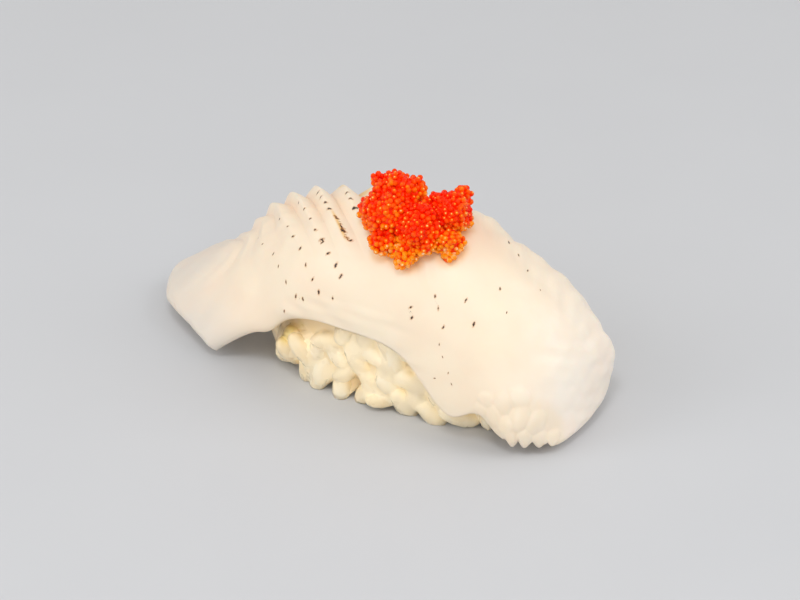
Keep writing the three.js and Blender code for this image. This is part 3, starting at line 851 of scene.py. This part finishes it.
# clear distance from points to the slab: to the nearest place of its middle sheet, less the half thickness
def slabClearance(points):
    i, j = riceLoaf["sheetSkip"]
    sheet = sheetPoint[::i, ::j].reshape(-1, 3)
    half = sheetHalf[::i, ::j].ravel()
    parts = np.array_split(points, max(1, len(points) // riceLoaf["batches"][0]))
    return np.concatenate([(np.linalg.norm(p[:, None] - sheet, axis=-1) - half).min(axis=1) for p in parts])


# outline of the loaf at a height: (a cos^(2/p), b sin^(2/p)) with their signs, times what the height leaves
def loafRing(height):
    r = riceLoaf
    rest = max(0.0, 1.0 - abs((height - r["middle"][2]) / r["half"][2]) ** r["power"])
    turn = np.linspace(0, 2 * np.pi, r["ringSteps"])
    way = np.stack([np.cos(turn), np.sin(turn)], axis=-1)
    return np.sign(way) * np.abs(way) ** (2 / r["power"]) * r["half"][:2] * rest ** (1.0 / r["power"])


# places on the loaf: rings at even heights, even steps of arc round each ring, seeded strays
def grainPlaces(draw):
    r = riceLoaf
    places = []
    for row in range(r["rows"]):
        height = r["rowFirst"] + row * r["rowStep"]
        ring = loafRing(height)
        arc = np.concatenate([[0], np.cumsum(np.linalg.norm(np.diff(ring, axis=0), axis=1))])
        count = int(round(arc[-1] / r["along"][min(row, 1)]))
        step = np.arange(count) + 0.5 * (row % 2) + r["arcStray"] * draw.uniform(-1, 1, count)
        at = step / count * arc[-1] % arc[-1]
        flat = [np.interp(at, arc, ring[:, axis]) + r["middle"][axis] for axis in (0, 1)]
        places.append(np.stack([*flat, height + r["heightStray"] * draw.uniform(-1, 1, count)], axis=-1))
    return np.concatenate(places)


# the grains' middles, axes and half sizes: turned by seeded angles in the loaf's skin, and moved out and down
# in small steps where the slice lies too near; those that still don't clear it are left out
def layGrains(draw):
    r = riceLoaf
    places = grainPlaces(draw)
    count = len(places)
    normal = loafNormal(places)
    level = np.cross([0.0, 0.0, 1.0], normal)
    level /= np.linalg.norm(level, axis=-1, keepdims=True)
    share, stray = r["upright"]
    upright = draw.normal(0.5 * np.pi, stray, count)
    turn = np.where(draw.random(count) < share, upright, draw.uniform(0, np.pi, count))[:, None]
    isLow = places[:, 2:] < r["low"]
    along = level * np.cos(turn) + np.cross(normal, level) * np.sin(turn)
    along = along + normal * draw.uniform(-1, 1, (count, 1)) * np.where(isLow, *r["tilt"])
    along /= np.linalg.norm(along, axis=-1, keepdims=True)
    side = np.cross(normal, along)
    side /= np.linalg.norm(side, axis=-1, keepdims=True)
    axes = np.stack([along, side, np.cross(along, side)], axis=1)
    sizes = 0.5 * np.array(r["grain"]) * draw.uniform(1 - r["uneven"], 1 + r["uneven"], (count, 3))
    centre = places - normal * np.where(isLow, *r["sunk"]) * sizes[:, 2:]
    out = (normal - [0.0, 0.0, r["down"]]) * np.where(normal[:, 1:2] < 0.0, 1.0, r["farPush"])
    for step in range(r["pushes"] + 1):
        ends = np.stack([centre + along * sizes[:, :1] * t for t in r["ends"]], axis=1)
        gap = slabClearance(ends.reshape(-1, 3)).reshape(count, 3)
        keep = (gap > sizes[:, 1:2] * r["fit"] + r["clear"]).all(axis=1)
        if step < r["pushes"]:
            centre = centre + np.where(keep[:, None], 0.0, r["push"] * out)
    return centre[keep], axes[keep], sizes[keep]


# soft distance to the rice: -w log(sum exp(-d / w)) over the core and the grains, each grain's d its
# ellipsoid's level less 1, times its least half size
def softDistance(points, grains):
    r = riceLoaf
    centre, axes, sizes = grains
    parts = []
    for p in np.array_split(points, max(1, len(points) // r["batches"][1])):
        own = np.einsum("pnk,njk->pnj", p[:, None] - centre, axes) / sizes
        gaps = (np.linalg.norm(own, axis=-1) - 1.0) * sizes.min(axis=1)
        foot = r["footShare"] * (1.0 - ease(p[:, 2], *r["footAt"]))
        core = (loafLevel(p) - r["coreShare"] + foot) * r["half"][1]
        parts.append(-r["blend"] * np.logaddexp.reduce(-np.column_stack([gaps, core]) / r["blend"], axis=1))
    return np.concatenate(parts)


# the skin that binds the grains: along each way out of the loaf's middle, where the soft distance reaches the
# skin's depth, found by halving, and drawn in where the slice lies over it
def bindingSkin(grains):
    r = riceLoaf
    ball, faces = ballGrid(*r["skinGrid"])
    middle = np.array(r["middle"])
    way = ball * np.array(r["half"])
    way = way / (np.abs(ball) ** r["power"]).sum(axis=-1, keepdims=True) ** (1.0 / r["power"])
    least, most, halvings = r["search"]
    low, high = np.full(len(ball), least), np.full(len(ball), most)
    for step in range(halvings):
        trial = (low + high) / 2.0
        outside = softDistance(middle + way * trial[:, None], grains) > -r["skin"]
        low, high = np.where(outside, low, trial), np.where(outside, trial, high)
    tight = np.arange(len(ball))
    share, times = r["drawIn"]
    for step in range(times):
        tight = tight[slabClearance(middle + way[tight] * low[tight, None]) < r["clear"]]
        low[tight] *= share
    return middle + way * low[:, None], faces


# grains: each an ellipsoid with fuller ends, bent by t^2 along its length and waisted by a sine, over the
# skin that binds them
def makeRice():
    r = riceLoaf
    draw = np.random.default_rng(r["seed"])
    grains = layGrains(draw)
    centre, axes, sizes = grains
    count = len(centre)
    ball, faces = ballGrid(r["sides"], r["rings"])
    t = ball[:, 2]
    most, level = r["bend"]
    bend = most * draw.uniform(-1, 1, (count, 1)) * (t ** 2 - level)
    size, waves, starts = r["plump"]
    plump = 1.0 + size * np.sin(waves * t + draw.uniform(0, starts, (count, 1)))
    long, wide, deep = sizes.T[..., None]
    own = np.stack([np.sign(t) * np.abs(t) ** r["blunt"] * long, ball[:, 0] * plump * wide + bend * long,
                    ball[:, 1] * plump * deep], axis=-1)
    points = (centre[:, None] + np.einsum("npk,nkj->npj", own, axes)).reshape(-1, 3)
    skin, skinFaces = bindingSkin(grains)
    allPoints = np.concatenate([points, skin])
    allPoints[:, 2] = np.maximum(allPoints[:, 2], r["foot"])
    shade = np.concatenate([np.repeat(draw.uniform(0, 1, count), len(ball)), np.full(len(skin), 0.5)])
    # painted shade: deeper and yellower in the gaps between grains
    start, full = r["gapShadeFrom"]
    depth = np.clip((start - loafLevel(allPoints)) / full, 0.0, 1.0)
    # painted shade: yellower where the slice lies close over the rice, ending along x
    tuckShade = 1.0 - ease(slabClearance(allPoints), *r["tuckUnder"])
    tuckShade = tuckShade * (1.0 - ease(allPoints[:, 0], *r["tuckEnd"]))
    attributes = {"shade": shade, "depth": depth, "tuckShade": tuckShade}
    faceSets = repeated(faces, count, len(ball)) + repeated(skinFaces, 1, 0, len(points))
    piece = makePiece("rice_grains", allPoints + seat, faceSets, attributes, riceFinish())
    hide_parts("rice")
    print("grains:", count)


riceColours = {
    "pale": screen(251, 237, 207),
    "cream": screen(248, 228, 188),
    # deep: the colour of the painted shade in the gaps and under the slice
    "deep": screen(240, 212, 160),
    "green": screen(210, 188, 88),
}


# rice: pale glossy grains, each a little different, with painted shade, deeper and yellower, in the gaps and
# under the slice; each colour is mixed over the last by its amount
def riceFinish():
    c = riceColours
    sockets = {"Coat Weight": 0.35, "Coat Roughness": 0.08, "Subsurface Weight": 0.85,
               "Subsurface Scale": 0.003, "Subsurface Radius": (1.0, 0.8, 0.5)}
    material, tree, shader, place = newFinish("rice_grain", sockets)
    shader.subsurface_method = "BURLEY"
    colour = addMix(tree, attributeOf(tree, "shade"), c["cream"], c["pale"])
    # painted shade in the gaps
    gaps = addRange(tree, attributeOf(tree, "depth"), 0.35, 1.0, 0.0, 0.3)
    colour = addMix(tree, gaps, colour, c["deep"])
    tuckShade = addRange(tree, attributeOf(tree, "tuckShade"), 0.2, 1.0, 0.0, 0.6)
    colour = addMix(tree, tuckShade, colour, c["deep"])
    # green spots, only inside the painted shade under the slice
    spots = addRange(tree, addNoise(tree, place, 170.0, 2.0), 0.58, 0.7)
    colour = addMix(tree, addMath(tree, "MULTIPLY", spots, tuckShade), colour, c["green"])
    tree.links.new(colour, shader.inputs["Base Color"])
    dull = addRange(tree, addNoise(tree, place, 300.0), 0.3, 0.7, 0.24, 0.42)
    tree.links.new(dull, shader.inputs["Roughness"])
    rough = addBump(tree, addNoise(tree, place, 700.0, 2.0), 0.1, 0.0003)
    tree.links.new(rough, shader.inputs["Normal"])
    return material


makeRice()


# even places on a ball by the golden angle: equal steps of height, each turned on by 137.5 degrees
def goldenBall(count):
    k = np.arange(count)
    z = 1.0 - (2 * k + 1) / count
    turn = k * np.pi * (3.0 - np.sqrt(5.0))
    flat = np.sqrt(1.0 - z * z)
    return np.stack([flat * np.cos(turn), flat * np.sin(turn), z], axis=-1)


# height of points over the slab's face: along the normal of the nearest face place
def heightOverFace(points):
    u, v = shareGrid(roeHeap["faceGrid"], roeHeap["faceAlong"], roeHeap["faceAcross"])
    face = slabSkin(u, v, True).reshape(-1, 3)
    normal = faceNormal(u, v).reshape(-1, 3)
    nearest = np.array([np.linalg.norm(face - p, axis=-1).argmin() for p in points])
    return ((points - face[nearest]) * normal[nearest]).sum(axis=-1)


# thinning: a place is kept if no place kept before it is nearer than the gap
def thinned(points, gap):
    kept = np.zeros(len(points), dtype=bool)
    for i in range(len(points)):
        near = np.linalg.norm(points[kept] - points[i], axis=-1)
        kept[i] = not len(near) or near.min() > gap
    return kept


# how far the clumps' skin is moved out of its ball, in mm: waves in all directions
def crag(points):
    return roeHeap["crag"] * ripple(points, *roeHeap["cragWave"])


# places of the eggs, the ways out of their clumps and their heights over the slice: even places on each
# clump, as close as a honeycomb's cells, less those that another clump covers or that lie too low, and then
# thinned
def eggPlaces(draw, middle, radius):
    r = roeHeap
    step = r["closer"] * r["spacing"]
    area = r["honeycomb"] * step ** 2
    ways = [goldenBall(int(4 * np.pi * size ** 2 / area)) for size in radius]
    places = [c + way * (size - r["inside"]) for c, size, way in zip(middle, radius, ways)]
    places, ways = np.concatenate(places), np.concatenate(ways)
    sunk = (radius - np.linalg.norm(places[:, None] - middle, axis=-1)).max(axis=1) - r["inside"]
    places, ways = places[sunk < r["covered"]], ways[sunk < r["covered"]]
    places = places + ways * crag(places)[:, None]
    places = places + draw.normal(0, r["stray"], places.shape)
    over = heightOverFace(places)
    clear = np.flatnonzero(over > r["room"])
    order = clear[draw.permutation(len(clear))]
    kept = order[thinned(places[order], r["spacing"])]
    return places[kept], ways[kept], over[kept]


# the heap's core: each clump's ball drawn in under the eggs and lifted clear of the slice, with its height
# over it
def roeCore(middle, radius):
    r = roeHeap
    u, v = np.array(r["clumps"])[:, :2].T
    ball, faces = ballGrid(*r["coreGrid"])
    radius = radius[:, None, None]
    skin = middle[:, None] + ball * radius
    inward = np.minimum(r["inset"] - crag(skin)[..., None], r["insetMost"] * radius)
    lumps = (skin - ball * inward).reshape(-1, 3)
    low = heightOverFace(lumps)
    normal = faceNormal(np.repeat(u, len(ball)), np.repeat(v, len(ball)))
    lumps = lumps + normal * np.maximum(r["coreRoom"] - low, 0.0)[:, None]
    return lumps, low, repeated(faces, len(middle), len(ball))


# the eggs' tones, from red at 0 to amber at 1: what each cause adds or takes off, and from where to where it
# acts, heights and gaps in mm
roeTones = {
    "plain": 0.38,
    "lowGlow": (0.75, 0.6, 3.2),     # painted amber glow near the slice
    "underGlow": (0.35, -0.4, 0.5),  # painted amber glow where the heap hangs over
    "hollowShade": (0.36, -0.1, 0.8),   # painted shade, redder, in the hollows between clumps
    "hollowFrom": (1.4, 3.4),
    "patch": 0.14,
    "patchWave": (4.0, 9),
    "patchFrom": (0.4, 2.6),
    "eggStray": 0.08,
    # painted light and shade on each egg: lighter on its outer side, redder where it meets the others
    "paintedOuterLight": (0.24, 0.35),
    # the core's plain tone, and its painted amber glow near the slice
    "core": (0.2, 0.5, 0.3, 2.4),
}


# tone of each egg: painted amber glow near the slice and where the heap hangs over, orange on the outside,
# painted shade, red, in the hollows between clumps, added up from eased steps, waves and seeded strays
def eggTone(draw, places, ways, over, middle, radius):
    t = roeTones
    gaps = np.linalg.norm(places[:, None] - middle, axis=-1) - radius
    hollow = np.sort(gaps, axis=1)[:, 1]
    amber, *nearSlice = t["lowGlow"]
    under, *hanging = t["underGlow"]
    red, *inHollow = t["hollowShade"]
    # painted light: amber glow near the slice and where the heap hangs over
    tone = t["plain"] + amber * (1.0 - ease(over, *nearSlice)) + under * ease(-ways[:, 2], *hanging)
    # painted shade: redder in the hollows between clumps
    tone = tone - red * (1.0 - ease(hollow, *inHollow)) * ease(over, *t["hollowFrom"])
    tone = tone + np.array(roeHeap["tones"])[gaps.argmin(axis=1)]
    tone = tone + t["patch"] * ripple(places, *t["patchWave"]) * ease(over, *t["patchFrom"])
    return tone + draw.normal(0, t["eggStray"], len(places))


# eggs: small balls over the clumps' skins, each painted lighter on its outer side and redder where it meets
# the others, with a painted highlight, a pale spot, at the pole of some, over the core
def makeRoe():
    r, t = roeHeap, roeTones
    draw = np.random.default_rng(r["seed"])
    middle, radius = clumpMiddles()
    places, ways, over = eggPlaces(draw, middle, radius)
    count = len(places)
    ball, faces = ballGrid(r["sides"], r["rings"])
    # each egg's pole, where its painted highlight lies, turned towards one way
    pole = ways + r["highlightWay"] + draw.normal(0, r["highlightStray"], (count, 3))
    pole /= np.linalg.norm(pole, axis=-1, keepdims=True)
    side = np.cross(pole, draw.normal(size=(count, 3)))
    side /= np.linalg.norm(side, axis=-1, keepdims=True)
    axes = np.stack([side, np.cross(pole, side), pole], axis=1)
    size = 0.5 * r["egg"] * draw.uniform(1 - r["uneven"], 1 + r["uneven"], (count, 1))
    stretch = draw.uniform(*r["stretch"], (count, 1, 3))
    eggs = places[:, None] + np.einsum("pk,nkj->npj", ball, axes * stretch) * size[:, None]
    tone = eggTone(draw, places, ways, over, middle, radius)
    # painted light and shade: each egg's outer side lighter, its side towards the others redder
    facing = ((eggs - places[:, None]) * ways[:, None]).sum(axis=-1) / size
    outerLight, level = t["paintedOuterLight"]
    tones = np.clip(tone[:, None] + outerLight * (facing - level), 0.0, 1.0) * r["amberAt"]
    # painted highlight: the pole vertex of some eggs takes the pale tone
    highlighted = draw.random(count) < r["highlighted"]
    tones[:, -2] = np.where(highlighted, draw.uniform(*r["highlightTone"], count), tones[:, -2])
    lumps, low, lumpFaces = roeCore(middle, radius)
    # the core's painted amber glow near the slice
    plain, amber, *nearSlice = t["core"]
    coreTone = (plain + amber * (1.0 - ease(low, *nearSlice))) * r["amberAt"]
    tones = np.concatenate([tones.ravel(), coreTone])
    points = np.concatenate([eggs.reshape(-1, 3), lumps])
    faceSets = repeated(faces, count, len(ball)) + [part + count * len(ball) for part in lumpFaces]
    piece = makePiece("roe_eggs", points + seat, faceSets, {"tone": tones}, roeFinish())
    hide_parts("roe")
    print("eggs:", count)


roeColours = {
    "deep": screen(244, 22, 0),
    "red": screen(246, 46, 0),
    "orange": screen(248, 90, 4),
    "amber": screen(250, 152, 14),
    # pale: the colour of the painted highlight spots
    "pale": screen(255, 240, 200),
}


# roe: wet eggs that glow a little, in straight steps of colour from deep red to amber by their tone, and pale
# at the painted highlight spots
def roeFinish():
    c = roeColours
    sockets = {"Roughness": 0.1, "Specular IOR Level": 0.4, "Specular Tint": (1.0, 0.62, 0.25, 1.0),
               "Subsurface Weight": 0.65, "Subsurface Scale": 0.0006, "Subsurface Radius": (1.0, 0.4, 0.15)}
    material, tree, shader, place = newFinish("roe_egg", sockets)
    shader.subsurface_method = "BURLEY"
    at = roeHeap["amberAt"]
    stops = [(0.0, c["deep"]), (0.35 * at, c["red"]), (0.62 * at, c["orange"]), (at, c["amber"]),
             (1.0, c["pale"])]
    stray = addRange(tree, addNoise(tree, place, 1400.0, 2.0), 0.3, 0.7, -0.08, 0.08)
    tone = addMath(tree, "ADD", attributeOf(tree, "tone"), stray)
    tree.links.new(addRamp(tree, tone, stops), shader.inputs["Base Color"])
    return material


makeRoe()

# camera: its azimuth and elevation round the part, and the point in the middle of the picture, in mm from the
# loaf's own middle
view = {
    "azimuth": 30.0,
    "elevation": 30.0,
    "distance": 550.0,
    "aim": (-7.79, 2.37, 10.31),
    "pixelsPerMm": 6.3,
    "imageWidth": 800,
    "sensor": 36.0,
    "clipStart": 0.01,
}


# unit vector by azimuth and elevation: (sin a cos e, -cos a cos e, sin e)
def wayTo(azimuth, elevation):
    turn, tip = np.radians([azimuth, elevation])
    return Vector((np.sin(turn) * np.cos(tip), -np.cos(turn) * np.cos(tip), np.sin(tip)))


# the lens gives the pixels a millimetre at the aim: sensor width x pixels a mm x distance / picture's width
def makeCamera():
    back = wayTo(view["azimuth"], view["elevation"])
    data = bpy.data.cameras.new("camera")
    data.sensor_width = view["sensor"]
    data.lens = view["sensor"] * view["pixelsPerMm"] * view["distance"] / view["imageWidth"]
    data.clip_start = view["clipStart"]
    camera = bpy.data.objects.new("camera", data)
    camera.location = (Vector(view["aim"]) + Vector(seat) + back * view["distance"]) * mm
    camera.rotation_euler = back.to_track_quat("Z", "Y").to_euler()
    bpy.context.scene.collection.objects.link(camera)
    bpy.context.scene.camera = camera


makeCamera()

# soft studio light: azimuth, elevation, distance and size in mm, and power
studio = {
    "lights": {
        "key": (42.0, 40.0, 700.0, 300.0, 0.25),
        "fill": (-45.0, 32.0, 800.0, 500.0, 1.25),
        "front": (15.0, 8.0, 800.0, 320.0, 0.52),
        "top": (110.0, 40.0, 800.0, 500.0, 1.25),
        "glint": (20.0, 62.0, 600.0, 140.0, 0.55),
    },
    "world": (1.0, 0.98, 0.95, 1.0),
    "worldStrength": 0.65,
    "floor": screen(206, 208, 212),
    "floorPatch": screen(190, 192, 197),
    "floorSize": 6000.0,
}


# disc lights at their distances along their ways, facing the origin, and an even glow from all round
def makeStudio():
    for name, (azimuth, elevation, distance, size, power) in studio["lights"].items():
        way = wayTo(azimuth, elevation)
        data = bpy.data.lights.new(name, "AREA")
        data.shape = "DISK"
        data.size = size * mm
        data.energy = power
        light = bpy.data.objects.new(name, data)
        light.location = way * distance * mm
        light.rotation_euler = way.to_track_quat("Z", "Y").to_euler()
        bpy.context.scene.collection.objects.link(light)
    world = bpy.data.worlds.new("studio")
    world.use_nodes = True
    glow = world.node_tree.nodes["Background"]
    glow.inputs["Color"].default_value = studio["world"]
    glow.inputs["Strength"].default_value = studio["worldStrength"]
    bpy.context.scene.world = world
    bpy.context.scene.view_settings.view_transform = "Standard"


# a flat square card at height 0, faintly patched
def makeFloor():
    half = 0.5 * studio["floorSize"] * mm
    corners = [(-half, -half, 0), (half, -half, 0), (half, half, 0), (-half, half, 0)]
    mesh = bpy.data.meshes.new("floor")
    mesh.from_pydata(corners, [], [(0, 1, 2, 3)])
    material, tree, shader, place = newFinish("floor_card", {"Roughness": 0.7})
    patches = addRange(tree, addNoise(tree, place, 40.0), 0.3, 0.7, 0.0, 0.06)
    colour = addMix(tree, patches, studio["floor"], studio["floorPatch"])
    tree.links.new(colour, shader.inputs["Base Color"])
    mesh.materials.append(material)
    floor = bpy.data.objects.new("floor", mesh)
    bpy.context.scene.collection.objects.link(floor)


makeStudio()
makeFloor()
print("camera, light and floor set")
